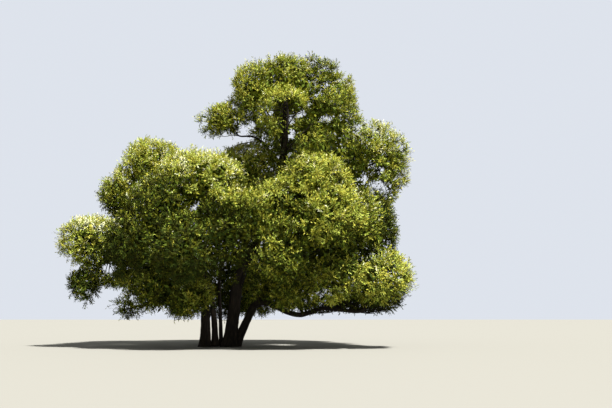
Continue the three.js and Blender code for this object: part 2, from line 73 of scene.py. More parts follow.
# Boughs: the limb each leaves and how far along it, the mass at its tip, its radius at both ends,
# and any points that it passes on the way
BOUGHS = [
    ("bough_upper_left", "stem_main", 0.8, "lobe_left", (72, 36), [1290, 300, 10500],
     [380, 100, 10600]),
    ("bough_top_left", "stem_main", 0.87, "top_left", (80, 48)),
    ("bough_top_right", "stem_main", 0.84, "top_right", (105, 55)),
    ("bough_right_upper", "stem_main", 0.6, "right_upper", (140, 68)),
    ("bough_back_upper", "stem_main", 0.66, "back_upper", (125, 60)),
    ("bough_far_left", "stem_left", 0.5, "far_left", (130, 58)),
    ("bough_left_front", "stem_left", 0.58, "left_front", (105, 55)),
    ("bough_left_near", "stem_left", 0.41, "left_front_low", (110, 55)),
    ("bough_left_low", "stem_left", 0.33, "left_low_front", (115, 55)),
    ("bough_left_hanging", "stem_inner", 0.38, "left_low", (95, 48)),
    ("bough_left_lump", "stem_inner", 0.66, "left_lump", (80, 42)),
    ("bough_low_right", "stem_right", 0.31, "right_lobe", (150, 70),
     [1600, -100, 2170], [2220, -200, 2000], [2810, -300, 1700], [3460, -400, 1560],
     [4040, -520, 1710], [4530, -750, 1880], [5410, -1050, 1800], [6400, -1350, 1740]),
    ("bough_right_low", "stem_right", 0.52, "right_low", (110, 55)),
    ("bough_right_outer", "stem_right", 0.66, "right_outer", (115, 55)),
    ("bough_right_top", "stem_main", 0.42, "right_top_front", (130, 60)),
    ("bough_back_right", "stem_main", 0.34, "back_right", (150, 68)),
    ("bough_back_mid", "stem_main", 0.44, "back_mid", (140, 66)),
    ("bough_back_left", "stem_inner", 0.46, "back_left", (105, 60)),
    ("bough_back_low", "stem_main", 0.22, "back_low", (120, 60)),
]

# Masses of foliage: centre, half size, the limb that carries each, the region that its leaves are
# joined with, and how far along the limb it grows where that isn't the tip
MASSES = [
    ("top_centre", [2700, 600, 13200], [1900, 2150, 1900], "stem_main", "top"),
    ("top_left", [1300, 200, 13000], [1400, 1800, 1600], "bough_top_left", "top"),
    ("top_right", [4800, 400, 12050], [1720, 2050, 2430], "bough_top_right", "top"),
    ("top_back", [2650, 3200, 12550], [2500, 2400, 2450], "stem_main", "top_back", 0.9),
    ("top_front", [2650, -1850, 11350], [1550, 1550, 1200], "stem_main", "top", 0.8),
    ("lobe_left", [-420, 0, 11400], [1530, 1250, 820], "bough_upper_left", "top"),
    ("mid_upper", [3450, -1150, 9750], [2100, 1800, 1200], "stem_main", "top", 0.68),
    ("right_upper", [7200, 800, 9280], [2080, 1950, 2220], "bough_right_upper", "right"),
    ("centre_back", [650, 1800, 8950], [1950, 2250, 1500], "stem_main", "top_back", 0.62),
    ("back_upper", [4400, 4250, 10500], [2800, 2400, 2400], "bough_back_upper", "top_back"),
    ("left_back", [-4350, 1750, 9000], [1900, 2150, 1800], "stem_inner", "left"),
    ("left_lump", [-5900, 900, 7600], [1200, 1450, 1150], "bough_left_lump", "left"),
    ("left_top", [-1300, -1650, 7850], [2350, 2300, 1800], "stem_left", "left"),
    ("left_shoulder", [-3100, -2450, 6550], [1700, 2050, 1650], "stem_left", "left", 0.7),
    ("far_left", [-6950, -400, 5250], [1750, 1800, 1200], "bough_far_left", "left"),
    ("left_front", [-4200, -2500, 4850], [1850, 1900, 1450], "bough_left_front", "left_low"),
    ("left_front_low", [-1800, -3800, 4550], [1900, 2050, 1600], "bough_left_near", "left_low"),
    ("left_low", [-6050, 600, 4100], [1900, 1800, 1200], "bough_left_hanging", "left_low"),
    ("left_hang", [-7100, -800, 3050], [850, 900, 1150], "bough_left_hanging", "left_low", 0.95),
    ("left_low_front", [-3500, -1700, 3050], [1900, 1800, 1250], "bough_left_low", "left_low"),
    ("left_low_spray", [-4750, -1500, 1850], [1300, 750, 450], "bough_left_low", "left_low", 0.92),
    ("left_bottom", [-2050, -1700, 2400], [1500, 1650, 1150], "bough_left_low", "left_low", 0.45),
    ("centre_front", [150, -3550, 5500], [1650, 1900, 1900], "stem_slim", "front"),
    ("right_top_front", [4100, -2650, 7800], [1950, 2050, 1450], "bough_right_top", "front"),
    ("right_front_left", [2100, -3200, 6450], [1850, 1900, 1450], "bough_right_top", "front", 0.7),
    ("right_front", [4700, -3800, 5850], [1900, 2050, 1650], "stem_right", "front"),
    ("right_outer", [6700, -300, 5850], [1650, 2500, 2250], "bough_right_outer", "right"),
    ("right_front_low", [2800, -3600, 4450], [1800, 1900, 1400], "stem_right", "front", 0.78),
    ("right_low", [5100, -2600, 3750], [1900, 1900, 1680], "bough_right_low", "front"),
    ("right_lobe", [7150, -1750, 3280], [2150, 2050, 1330], "bough_low_right", "right"),
    ("right_under", [2900, -1100, 2900], [2400, 1500, 1050], "bough_low_right", "right", 0.42),
    ("back_left", [-4100, 4000, 6250], [2900, 2400, 2650], "bough_back_left", "back_left"),
    ("back_mid", [-350, 4900, 7550], [3000, 2550, 2850], "bough_back_mid", "back_left"),
    ("back_right", [4200, 4550, 6450], [3100, 2700, 2950], "bough_back_right", "back_right"),
    ("back_low", [500, 4300, 3500], [3100, 2400, 2100], "bough_back_low", "back_right"),
    ("back_left_low", [-3000, 3300, 3600], [2300, 2200, 1850], "bough_back_left", "back_left", 0.6),
]

# The mass with fewer shoots, and no leaves further in that close the view through it
OPEN_MASSES = {"left_low_spray"}

MM = 0.001
UP = np.array([0.0, 0.0, 1.0])
FULL_TURN = 2 * math.pi
GOLDEN_ANGLE = math.pi * (3 - math.sqrt(5))
CROWN_CENTRE = np.array([0.6, 0.3, 5.5])
LINE_STEPS, CURVE_STEPS = 60, 240
TINY, STEEP = 1e-12, 0.9

# The source's rule for limbs
TAPER = 0.85
FLARE_SHARE, FLARE_HEIGHT, FLARE_LOBES, FLARE_RIDGE = 0.45, 0.38, 5, 0.1
COLLAR_SHARE, COLLAR_RADII = 0.35, 1.6
RUN_START, RUN_END, FOLLOW_PARENT, RUN_LIFT = 0.34, 0.3, 0.55, 0.35
RUN_WANDER, RUN_WAVES = 0.025, 3
ENTRY_DEPTH = 0.86

# The source's rule for masses
SPACE_MARGIN = 0.012
TWIG_TRIES, TWIG_JITTER = 18, 0.17
ROOT_LOW, ROOT_HIGH = 0.55, 0.95
END_LEAST, END_SPREAD, END_ARCH = 0.5, 0.14, 0.03
SPRAY_LEAN = 0.38
STEM_THIN, STEM_END_SHARE, STEM_END_RADIUS = 0.82, 0.3, 0.026
BEND_AT, BEND_ALONG, INSIDE_LIMB = 0.4, 0.12, 0.06
DIRECTION_DRAWS, END_DRAWS, LEAN_DRAWS = 0, 300, 400
WAVE_A, WAVE_B, WAVE_HIGH, AXIS_DRAWS = 127.1, 311.7, 43758.5453, 50


def chance(a, b):
    """The source's seeded rule: a fixed number from 0 to 1 for each pair of numbers."""
    wave = np.sin(np.asarray(a) * WAVE_A + np.asarray(b) * WAVE_B) * WAVE_HIGH
    return wave - np.floor(wave)


def wobble(a, b):
    """Three seeded numbers from -1 to 1."""
    return np.stack([chance(a, b + axis * AXIS_DRAWS) for axis in range(3)], axis=-1) * 2 - 1


def unit(vectors):
    vectors = np.asarray(vectors, float)
    return vectors / np.maximum(norm(vectors, axis=-1, keepdims=True), TINY)


def mix(a, b, share):
    return a + (b - a) * share


def sideways(direction, angle):
    """Unit vectors square to the given ones, turned about them by an angle."""
    direction = np.asarray(direction, float)
    steep = np.abs(direction[..., 2:3]) >= STEEP
    helper = np.where(steep, np.array([1.0, 0, 0]), UP)
    across = unit(np.cross(helper, direction))
    angle = np.asarray(angle, float)[..., None]
    return across * np.cos(angle) + np.cross(direction, across) * np.sin(angle)


# Centre lines

def catmull(way, count):
    """Points along the curve through a way, evenly spread between each pair."""
    way = np.asarray(way, float)
    last = len(way) - 1
    padded = np.vstack([2 * way[0] - way[1], way, 2 * way[-1] - way[-2]])
    place = np.linspace(0, last, count + 1)
    k = np.minimum(place.astype(int), last - 1)
    t = (place - k)[:, None]
    before, start, end, after = (padded[k + j] for j in range(4))
    leaving, arriving = (end - before) / 2, (after - start) / 2
    square = 3 * (end - start) - 2 * leaving - arriving
    cube = 2 * (start - end) + leaving + arriving
    return start + leaving * t + square * t**2 + cube * t**3


def lengths_along(line):
    """How far along the line each of its points is."""
    return np.concatenate([[0], np.cumsum(norm(np.diff(line, axis=0), axis=1))])


def evenly(line, count):
    """The same line as evenly spaced points."""
    along = lengths_along(line)
    wanted = np.linspace(0, along[-1], count + 1)
    return np.stack([np.interp(wanted, along, line[:, k]) for k in range(3)], axis=1)


def point_on(limb, share):
    place = np.asarray(share) * LINE_STEPS
    k = np.minimum(place.astype(int), LINE_STEPS - 1)
    return mix(limb["line"][k], limb["line"][k + 1], (place - k)[..., None])


def heading_on(limb, share):
    k = min(int(share * LINE_STEPS), LINE_STEPS - 1)
    return unit(limb["line"][k + 1] - limb["line"][k])


def radius_on(limb, share):
    thick, thin = limb["radii"]
    return thin + (thick - thin) * (1 - share) ** TAPER


def entry_of(mass, coming_from):
    """Where a limb from a point ends, a little inside the mass that it enters."""
    inward = coming_from - mass["middle"]
    return mass["middle"] + inward * (ENTRY_DEPTH / norm(inward / mass["half"]))


def bough_curve(start, parent, at, mass, way, index):
    """A bough's centre line: through its points, or else a swaying run from limb to mass."""
    if way:
        way = [start, *(np.array(p) * MM for p in way)]
        return catmull([*way, entry_of(mass, way[-1])], CURVE_STEPS)
    end = entry_of(mass, start)
    length = norm(end - start)
    straight = (end - start) / length
    leaving = unit(mix(straight, heading_on(parent, at), FOLLOW_PARENT))
    arriving = unit(unit(mass["middle"] - end) + UP * RUN_LIFT)
    one = start + leaving * length * RUN_START
    two = end - arriving * length * RUN_END
    t = np.linspace(0, 1, CURVE_STEPS + 1)[:, None]
    points = start * (1 - t)**3 + one * 3 * t * (1 - t)**2 + two * 3 * t**2 * (1 - t) + end * t**3
    sway = np.sin(t * math.pi * RUN_WAVES) * np.sin(t * math.pi)
    return points + sideways(straight, index) * sway * length * RUN_WANDER


masses = {}
for number, (name, centre, size, on, region, *at) in enumerate(MASSES, 1):
    half = np.array(size) * MM
    masses[name] = {"name": name, "number": number, "middle": np.array(centre) * MM, "half": half,
                    "radius": np.cbrt(half.prod()), "on": on, "region": region,
                    "at": at[0] if at else None, "open": name in OPEN_MASSES}


def limb_of(curve, radii, **more):
    line = evenly(curve, LINE_STEPS)
    return {"curve": curve, "line": line, "radii": np.array(radii) * MM, **more}


limbs = {}
for number, (name, way, into, radii) in enumerate(STEMS):
    way = np.array(way) * MM
    curve = catmull(np.vstack([way, entry_of(masses[into], way[-1])]), CURVE_STEPS)
    limbs[name] = limb_of(curve, radii, parent=None, number=number)
for number, (name, source, at, into, radii, *way) in enumerate(BOUGHS):
    parent = limbs[source]
    curve = bough_curve(point_on(parent, at), parent, at, masses[into], way, number)
    limbs[name] = limb_of(curve, radii, parent=parent, sunk=radius_on(parent, at))


# The space of each mass: its ellipsoid, which runs on into its neighbours' in the valleys, cut by
# a flat border with each neighbour
BLEND, MOST_BLEND, BLEND_HALVINGS, LEAST_SLOPE = 2.5, 1.35, 6, 1e-6
all_middles = np.array([m["middle"] for m in masses.values()])
all_halves = np.array([m["half"] for m in masses.values()])


def borders_of(mass):
    """The flat borders with the mass's neighbours: which way each lies, and how far."""
    borders = []
    for other in masses.values():
        if other is mass:
            continue
        towards = other["middle"] - mass["middle"]
        apart = norm(towards)
        offset = (apart**2 + mass["radius"]**2 - other["radius"]**2) / (2 * apart) - SPACE_MARGIN
        if offset < mass["half"].max() * MOST_BLEND:
            borders.append((towards / apart, offset))
    return borders


def filled_at(points):
    """How full the crown is at each point. The masses add up, and the crown's surface is at 1."""
    out = (points[..., None, :] - all_middles) / all_halves
    return np.exp(BLEND * (1 - (out**2).sum(axis=-1))).sum(axis=-1)


def reach_of(mass, directions):
    """How far the space goes from its centre in each direction."""
    near = 1 / norm(directions / mass["half"], axis=-1)
    inside, outside = near, near * MOST_BLEND
    for _ in range(BLEND_HALVINGS):
        between = (inside + outside) / 2
        full = filled_at(mass["middle"] + directions * between[..., None]) > 1
        inside = np.where(full, between, inside)
        outside = np.where(full, outside, between)
    reach = inside
    for towards, offset in mass["borders"]:
        slope = directions @ towards
        border = offset / np.maximum(slope, LEAST_SLOPE)
        reach = np.where(slope > LEAST_SLOPE, np.minimum(reach, border), reach)
    return reach


def mass_stem_way(mass):
    """The points that a mass's own stem passes, from the limb that carries it."""
    limb, at, middle = limbs[mass["on"]], mass["at"], mass["middle"]
    start = point_on(limb, at or 1)
    outward = unit(middle - start)
    heading = outward if at else heading_on(limb, 1)
    first = start if at else start - heading * INSIDE_LIMB
    bend = mix(start, middle, BEND_AT) + heading * norm(middle - start) * BEND_ALONG
    end = middle + outward * reach_of(mass, outward) * STEM_END_SHARE
    return np.array([first, bend, middle, end])


def directions_of(mass):
    """Directions from the middle, spread on a spiral that starts at the crown's outside."""
    outward = unit(mass["middle"] - CROWN_CENTRE)
    across = sideways(outward, 0)
    other = np.cross(outward, across)
    i = np.arange(TWIG_TRIES)
    height = 1 - 2 * i / (TWIG_TRIES - 0.5)
    ring = np.sqrt(np.maximum(0, 1 - height**2))
    angle = i * GOLDEN_ANGLE + mass["number"]
    jitter = wobble(mass["number"], DIRECTION_DRAWS + i) * np.where(i > 0, TWIG_JITTER, 0)[:, None]
    spread = (outward * height[:, None] + across * (np.cos(angle) * ring)[:, None]
              + other * (np.sin(angle) * ring)[:, None])
    return unit(spread + jitter)


for mass in masses.values():
    mass["borders"] = borders_of(mass)


# Meshes from arrays

def put(name, data):
    """A new object in the scene."""
    thing = bpy.data.objects.new(name, data)
    bpy.context.scene.collection.objects.link(thing)
    return thing


class Batch:
    """Vertices and faces of many forms, joined into one mesh. A tone is a face's material."""

    def __init__(self):
        self.vertices, self.corners, self.counts, self.tones, self.places = [], [], [], [], []
        self.total = 0

    def add(self, vertices, corners, counts, tones, places=None):
        self.vertices.append(vertices)
        self.corners.append(np.asarray(corners).ravel() + self.total)
        self.counts.append(counts)
        self.tones.append(tones)
        if places is not None:
            self.places.append(places)
        self.total += len(vertices)

    def build(self, name, materials, slot, nodes):
        """Make the mesh a piece in place of nodes. Bark is shaded smooth, and leaves are flat."""
        vertices = np.concatenate(self.vertices)
        corners = np.concatenate(self.corners)
        counts = np.concatenate(self.counts)
        mesh = bpy.data.meshes.new(name)
        mesh.vertices.add(len(vertices))
        mesh.vertices.foreach_set("co", vertices.astype(np.float32).ravel())
        mesh.loops.add(len(corners))
        mesh.loops.foreach_set("vertex_index", corners.astype(np.int32))
        mesh.polygons.add(len(counts))
        starts = np.concatenate([[0], np.cumsum(counts)[:-1]])
        mesh.polygons.foreach_set("loop_start", starts.astype(np.int32))
        mesh.polygons.foreach_set("material_index", np.concatenate(self.tones).astype(np.int32))
        mesh.polygons.foreach_set("use_smooth", np.full(len(counts), slot == "bark"))
        mesh.update(calc_edges=True)
        if self.places:
            layer = mesh.attributes.new("bark_place", "FLOAT_VECTOR", "POINT")
            layer.data.foreach_set("vector", np.concatenate(self.places).astype(np.float32).ravel())
        for material in materials:
            mesh.materials.append(material)
        piece = put(name, mesh)
        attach(piece, "root")
        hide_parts(*nodes)


def rings_along(points):
    """Two directions across a line at each of its points, without any twist."""
    heading = unit(np.gradient(points, axis=0))
    across = np.empty_like(points)
    across[0] = sideways(heading[0], 0)
    for i in range(1, len(points)):
        turned = across[i - 1] - heading[i] * (across[i - 1] @ heading[i])
        across[i] = turned / norm(turned)
    return across, np.cross(heading, across)


BARK_STRETCH = 0.16


def add_tube(batch, points, radii, sides, closed=True):
    """A tube along points. Radii are one to a ring, or one to each corner of each ring."""
    across, other = rings_along(points)
    angle = np.arange(sides) / sides * FULL_TURN
    radii = np.broadcast_to(np.asarray(radii, float).reshape(len(points), -1), (len(points), sides))
    out = (across[:, None] * np.cos(angle)[None, :, None]
           + other[:, None] * np.sin(angle)[None, :, None])
    vertices = (points[:, None] + out * radii[..., None]).reshape(-1, 3)
    rings = len(points)
    i, k = np.meshgrid(np.arange(rings - 1), np.arange(sides), indexing="ij")
    after = (k + 1) % sides
    corners = np.stack([i * sides + k, i * sides + after, (i + 1) * sides + after,
                        (i + 1) * sides + k], axis=-1).reshape(-1)
    counts = np.full((rings - 1) * sides, 4)
    along = lengths_along(points)[:, None] * BARK_STRETCH
    mean = radii.mean(axis=1)[:, None]
    places = np.stack([np.cos(angle)[None] * mean, np.sin(angle)[None] * mean,
                       np.repeat(along, sides, axis=1)], axis=-1).reshape(-1, 3)
    if closed:
        last = (rings - 1) * sides
        corners = np.concatenate([corners, np.arange(sides)[::-1], last + np.arange(sides)])
        counts = np.concatenate([counts, [sides, sides]])
    batch.add(vertices, corners, counts, np.zeros(len(counts)), places)
    return vertices


# Materials

BARK_ROUGH, BARK_SHINE = 0.92, 0.25
FURROW_NOISE, PATCH_NOISE = (16, 6, 0.6), (2.2, 3, 0.5)
# Painted shade: the ramp is darkest where the furrows sink in the bump, and all of it is near black for
# the crown's shade on the stems
FURROW_SHADE_COLOURS = [(0.3, (0.004, 0.003, 0.002)), (0.72, (0.046, 0.036, 0.026)),
                  (0.5, (0.016, 0.012, 0.009))]
PATCH_COLOURS = [(0.4, (0.55, 0.53, 0.5)), (0.7, (1.0, 1.0, 0.86))]
BUMP_STRENGTH, BUMP_DEEP = 0.7, 0.02
SHOOT_COLOUR, SHOOT_ROUGH, SHOOT_SHINE = (0.06, 0.055, 0.022), 0.7, 0.2

# Leaf tones from dark to silver: lit and shaded copies of the leaf colours, as painted light and shade,
# with silver for pale undersides that is partly painted highlight. Each has a warm colour and a fresher
# one, its roughness and shine
LEAF_COLOURS = [
    ("shade", (0.046, 0.052, 0.006), (0.036, 0.056, 0.009), 0.8, 0.05),
    ("olive", (0.127, 0.138, 0.008), (0.107, 0.150, 0.014), 0.7, 0.1),
    ("green", (0.255, 0.266, 0.018), (0.222, 0.288, 0.026), 0.6, 0.15),
    ("sunny", (0.475, 0.460, 0.060), (0.425, 0.487, 0.085), 0.55, 0.2),
    ("silver", (0.78, 0.76, 0.46), (0.73, 0.77, 0.52), 0.5, 0.25),
]


def shaded(name, roughness, shine):
    material = bpy.data.materials.new(name)
    material.use_nodes = True
    shader = material.node_tree.nodes["Principled BSDF"]
    shader.inputs["Roughness"].default_value = roughness
    shader.inputs["Specular IOR Level"].default_value = shine
    return material, shader


def plain(name, colour, roughness, shine):
    material, shader = shaded(name, roughness, shine)
    shader.inputs["Base Color"].default_value = (*colour, 1)
    return material


def bark_material():
    """Furrowed bark: furrows by bump, and coloured darker where they sink as painted shade, under paler
    and darker patches; the whole bark colour is kept near black as painted shade of the crown.
    """
    material, shader = shaded("furrowed_bark", BARK_ROUGH, BARK_SHINE)
    nodes, links = material.node_tree.nodes, material.node_tree.links
    place = nodes.new("ShaderNodeAttribute")
    place.attribute_name = "bark_place"

    def noise(settings):
        node = nodes.new("ShaderNodeTexNoise")
        for key, value in zip(("Scale", "Detail", "Roughness"), settings):
            node.inputs[key].default_value = value
        links.new(place.outputs["Vector"], node.inputs["Vector"])
        return node.outputs["Fac"]

    def ramp(value, stops):
        node = nodes.new("ShaderNodeValToRGB")
        links.new(value, node.inputs["Fac"])
        for i, (at, colour) in enumerate(stops):
            stop = node.color_ramp.elements[i] if i < 2 else node.color_ramp.elements.new(at)
            stop.position = at
            stop.color = (*colour, 1)
        return node.outputs["Color"]

    furrows = noise(FURROW_NOISE)
    patches = noise(PATCH_NOISE)
    # The furrows are coloured darker where they sink, as painted shade
    furrow_shade = ramp(furrows, FURROW_SHADE_COLOURS)
    grey = ramp(patches, PATCH_COLOURS)
    colour = nodes.new("ShaderNodeMix")
    colour.data_type = "RGBA"
    colour.blend_type = "MULTIPLY"
    colour.inputs["Factor"].default_value = 1.0
    links.new(furrow_shade, colour.inputs["A"])
    links.new(grey, colour.inputs["B"])
    links.new(colour.outputs["Result"], shader.inputs["Base Color"])
    bump = nodes.new("ShaderNodeBump")
    bump.inputs["Strength"].default_value = BUMP_STRENGTH
    bump.inputs["Distance"].default_value = BUMP_DEEP
    links.new(furrows, bump.inputs["Height"])
    links.new(bump.outputs["Normal"], shader.inputs["Normal"])
    return material


BARK = bark_material()
SHOOT = plain("shoot_bark", SHOOT_COLOUR, SHOOT_ROUGH, SHOOT_SHINE)
# Leaf materials, from painted shade through painted light to silver
LEAF_TONES = [plain(f"leaf_{name}{kind}", colour, roughness, shine)
              for name, warm, fresh, roughness, shine in LEAF_COLOURS
              for kind, colour in (("", warm), ("_fresh", fresh))]


# Bark relief: ridges that sway round the limb, with a finer grain, in metres

FURROW_APART, RELIEF_DEPTH, RELIEF_MEAN = 0.085, 0.055, 0.3
LEAST_RIDGES, SWAYS_AROUND, SWAY_MOST = 5, 4, 1.6
SWAY_LONG, RIDGE_LONG, GRAIN_LONG = 0.5, 0.34, 0.12
RIDGE_SHARP, RIDGE_SHARE, GRAIN_SHARE = 0.8, 0.7, 0.3
LIMB_SEED, SWAY_SEED, GRAIN_SEED = 11, 3, 7
CELL_SHIFT, CELL_ROW, CELL_COLUMN = 0.37, 1.7, 57
STEM_SIDES, BOUGH_SIDES = 40, 12
STEM_RING, BOUGH_RING = 0.10, 0.11


def smoothly(t):
    return t * t * (3 - 2 * t)


def noise_grid(u, v, around, seed):
    """Smooth noise from 0 to 1 over a grid of cells that closes after a whole number around."""
    i, j = np.floor(u), np.floor(v)
    across, up = smoothly(u - i), smoothly(v - j)

    def corner(di, dj):
        return chance((i + di) % around + CELL_SHIFT, (j + dj) * CELL_ROW + seed)

    low = mix(corner(0, 0), corner(1, 0), across)
    high = mix(corner(0, 1), corner(1, 1), across)
    return mix(low, high, up)


def relief(angle, along, radius, seed):
    """Height of the bark from -1 to 1: long ridges that run together, with furrows between."""
    around = max(LEAST_RIDGES, round(FULL_TURN * radius / FURROW_APART))
    turn = angle / FULL_TURN
    sway = noise_grid(turn * SWAYS_AROUND, along / SWAY_LONG, SWAYS_AROUND, seed + SWAY_SEED) - 0.5
    wide = noise_grid((turn * around + sway * SWAY_MOST) % around, along / RIDGE_LONG, around, seed)
    around *= 2
    grain = noise_grid((turn * around + sway) % around, along / GRAIN_LONG, around, seed + GRAIN_SEED)
    ridges = 1 - np.abs(2 * wide - 1) ** RIDGE_SHARP
    return (RIDGE_SHARE * ridges + GRAIN_SHARE * grain) * 2 - 1


def limb_mesh(batch, limb, seed):
    """A limb with its bark, its collar where it leaves another, or its flare at the ground."""
    sides, spacing = (BOUGH_SIDES, BOUGH_RING) if limb["parent"] else (STEM_SIDES, STEM_RING)
    length = lengths_along(limb["curve"])[-1]
    count = int(length / spacing)
    points = evenly(limb["curve"], count)
    shares = np.linspace(0, 1, count + 1)
    radius = radius_on(limb, shares)[:, None]
    angle = (np.arange(sides) / sides * FULL_TURN)[None]
    along = (shares * length)[:, None]
    if limb["parent"]:
        out = np.maximum(along - limb["sunk"], 0)
        radius = radius * (1 + COLLAR_SHARE * np.exp(-out / (radius * COLLAR_RADII)))
    else:
        fade = np.exp(-points[:, 2:3] / FLARE_HEIGHT)
        ridge = FLARE_RIDGE * np.cos(angle * FLARE_LOBES + limb["number"])
        radius = radius * (1 + fade * (FLARE_SHARE + ridge))
    rough = relief(angle, along, limb["radii"].mean(), seed)
    radius = radius * (1 + RELIEF_DEPTH * (rough - RELIEF_MEAN))
    vertices = add_tube(batch, points, radius, sides)
    if not limb["parent"]:
        vertices[:sides, 2] = 0
    np.maximum(vertices[:, 2], 0, out=vertices[:, 2])


stems = Batch()
boughs = Batch()
for i, limb in enumerate(limbs.values()):
    limb_mesh(boughs if limb["parent"] else stems, limb, i * LIMB_SEED + 1)
stems.build("stems_bark", [BARK], "bark", [row[0] for row in STEMS])
boughs.build("boughs_bark", [BARK], "bark", [row[0] for row in BOUGHS])


# Foliage

def golden_sphere(count):
    """Directions spread evenly on a spiral from the top down."""
    i = np.arange(count)
    height = 1 - 2 * (i + 0.5) / count
    ring = np.sqrt(1 - height**2)
    return np.stack([np.cos(i * GOLDEN_ANGLE) * ring, np.sin(i * GOLDEN_ANGLE) * ring, height], axis=1)


LOOK_COUNT, LOOK_FAR, LOOK_CLEAR = 26, (0.8, 1.5), 0.9
LOOKS = golden_sphere(LOOK_COUNT)


def openness_of(points):
    """The share of directions in which each point is near the outside of the crown."""
    seen = np.zeros(len(points))
    for look in LOOKS:
        clear = np.zeros(len(points), bool)
        for far in LOOK_FAR:
            clear |= filled_at(points + look * far) < LOOK_CLEAR
        seen += clear
    return seen / len(LOOKS)


def noise_at(points, apart, seed):
    """Smooth noise from 0 to 1 through space, with lumps this far apart."""
    place = points / apart
    cell = np.floor(place)
    share = smoothly(place - cell)
    total = 0
    for corner in np.ndindex(2, 2, 2):
        at = cell + corner
        weight = np.prod(np.where(corner, share, 1 - share), axis=-1)
        column = at[..., 0] + CELL_COLUMN * at[..., 1]
        total = total + weight * chance(column, at[..., 2] * CELL_ROW + seed)
    return total


# Limbs too fine for solids: sides and steps of the masses' stems and of the bare twigs, then the
# radii at both ends, the sides and the steps of the branches and of each kind of twig
STEM_SHAPE, STEM_PARTS, BARE_SHAPE = (8, 14), 4, (5, 14)
BRANCH, BRANCH_BEND = ((0.026, 0.017), 5, 4), 0.05
TWIG, SIDE_TWIG, LOW_TWIG = ((0.013, 0.006), 3, 2), ((0.013, 0.006), 3, 3), ((0.022, 0.007), 4, 10)

# Clumps of shoots on each mass's surface, in metres
CLUMP_APART, CLUMP_SPARE, CLUMP_JITTER = 0.76, 1.1, 0.35
CLUMP_SIZE, CLUMP_VARY, CLUMP_DEEP = 0.46, 0.35, 0.6
LUMPS, LUMP_APART, LUMP_MEAN, LUMP_SEED = 0.18, 1.5, 0.62, 5
SUNK_MOST, LEAST_FAR = 0.45, 0.5
SHUT_BELOW, OPEN_FROM = 0.1, 0.35
FORK_BEND, FORK_RISE = 0.55, 0.05

# Shoots in a clump, which fan out over a cap, and the wind that leans them
SHOOTS, SHOOTS_IN_OPEN_MASS, CAP_SHARE, CAP_TURN = 18, 10, 0.58, 6
SHOOT_RADIUS, SHOOT_LONG, SHOOT_START = 0.006, (0.7, 1.25), (0.75, 1.0)
POLE_OUT, POLE_UP, POLE_VARY, POLE_FROM_CROWN = 0.8, 0.5, 0.15, 0.4
AIM_OUT, AIM_POLE, AIM_VARY = 0.6, 0.55, 0.25
TIP_OUT, TIP_AIM, TIP_PAST = 0.5, 0.6, (-0.14, 0.16)
WIND = np.array([0.16, 0.02, 0.10])

# Leaves along a shoot, larger than life because each stands for a few
LEAVES_SHUT, LEAVES_OPEN, LEAF_FIRST, LEAF_SHIFT = 6, 11, 0.12, 0.3
LEAF_LONG, LEAF_WIDE, LEAF_WAIST = 0.135, 0.043, 0.42
LONG_VARY, WIDE_VARY, LEAF_DROOP = (0.75, 1.25), (0.8, 1.15), 0.2
LEAF_ALONG, LEAF_FAN, LEAF_HANG = 0.85, (0.8, 0.45), 0.06
LEAF_TURN, LEAF_WIND, LEAF_VARY = 6.28, 0.5, 0.25
FACE_UP, FACE_POLE, FACE_VARY = 0.8, 0.8, 0.5

# Leaves that close the view into a mass, coloured dark as painted shade of its inside: a shell under its
# clumps, and some further in. Where the mass meets its neighbours the shell starts right at the border
SHELL_COUNT, SHELL_NEAR, SHELL_FAR, SHELL_TILT, HIDDEN_FROM = 195, 0.50, 0.95, 0.35, 1.2
INNER_COUNT, INNER_NEAR, INNER_FAR = 110, 0.1, 0.7
DENSER = {"right_upper": 1.7, "left_top": 1.2, "left_back": 1.2, "back_low": 1.7, "right_under": 1.8,
          "right_low": 1.2, "centre_back": 1.5, "left_bottom": 1.4, "back_right": 1.6}
SHADE_LONG, SHADE_WIDE, SHADE_DROOP, SHADE_LEAST_FAR = 0.32, 0.13, 0.1, 0.2
FILL_COUNT, FILL_SPREAD = 9, 0.32
# Shade leaves are darkest low down and paler higher up, as painted shade and light
DARK_BELOW, LIGHT_OVER = 2.5, 6.0

# How light the leaves are, as painted light and shade: the steps between the tones, what makes a clump, a
# spray or a leaf lighter (openness, height, place in its mass, lumps and the sun's side as painted light;
# sinking and nearness to a window as painted shade), how much lighter or darker some masses are as
# painted light and shade, and the share of silver sprays in them
TONE_STEPS = [0.12, 0.42, 0.75, 1.1]
FRESH_SHARE = 0.5
SUNWARD = unit([0.25, -0.3, 0.9])
HEIGHT_FROM, HEIGHT_OVER = 2, 11
CLUMP_TONE, TONE_BY_OPEN, TONE_BY_HEIGHT, TONE_BY_RISE = 0.02, 0.3, 0.15, 0.2
TONE_BY_SUNK, TONE_BY_LUMP, TONE_BY_WINDOW = 0.5, 0.9, 0.8
SPRAY_BY_SUN, SPRAY_VARY, TONE_ALONG, TONE_VARY = 0.34, 0.24, 0.35, 0.36
PAINTED_LIGHT = {"left_top": 0.74, "left_shoulder": -0.55, "left_back": 0.5, "left_lump": 0.15,
           "far_left": 0.28, "centre_front": -0.7, "left_front_low": -0.85, "left_low_front": 0.1,
           "left_front": -0.9, "left_hang": -0.65, "left_low": -0.1, "left_low_spray": -0.2,
           "right_top_front": 0.33, "right_front": 0.35, "right_front_left": 0.22,
           "right_lobe": 0.42, "right_low": 0.5, "centre_back": 0.45, "mid_upper": -0.4,
           "right_front_low": -0.15, "top_centre": 0.18, "top_left": 0.15, "top_right": 0.15,
           "lobe_left": 0.1, "right_outer": -0.85, "top_front": 0.15, "right_upper": 0.12}
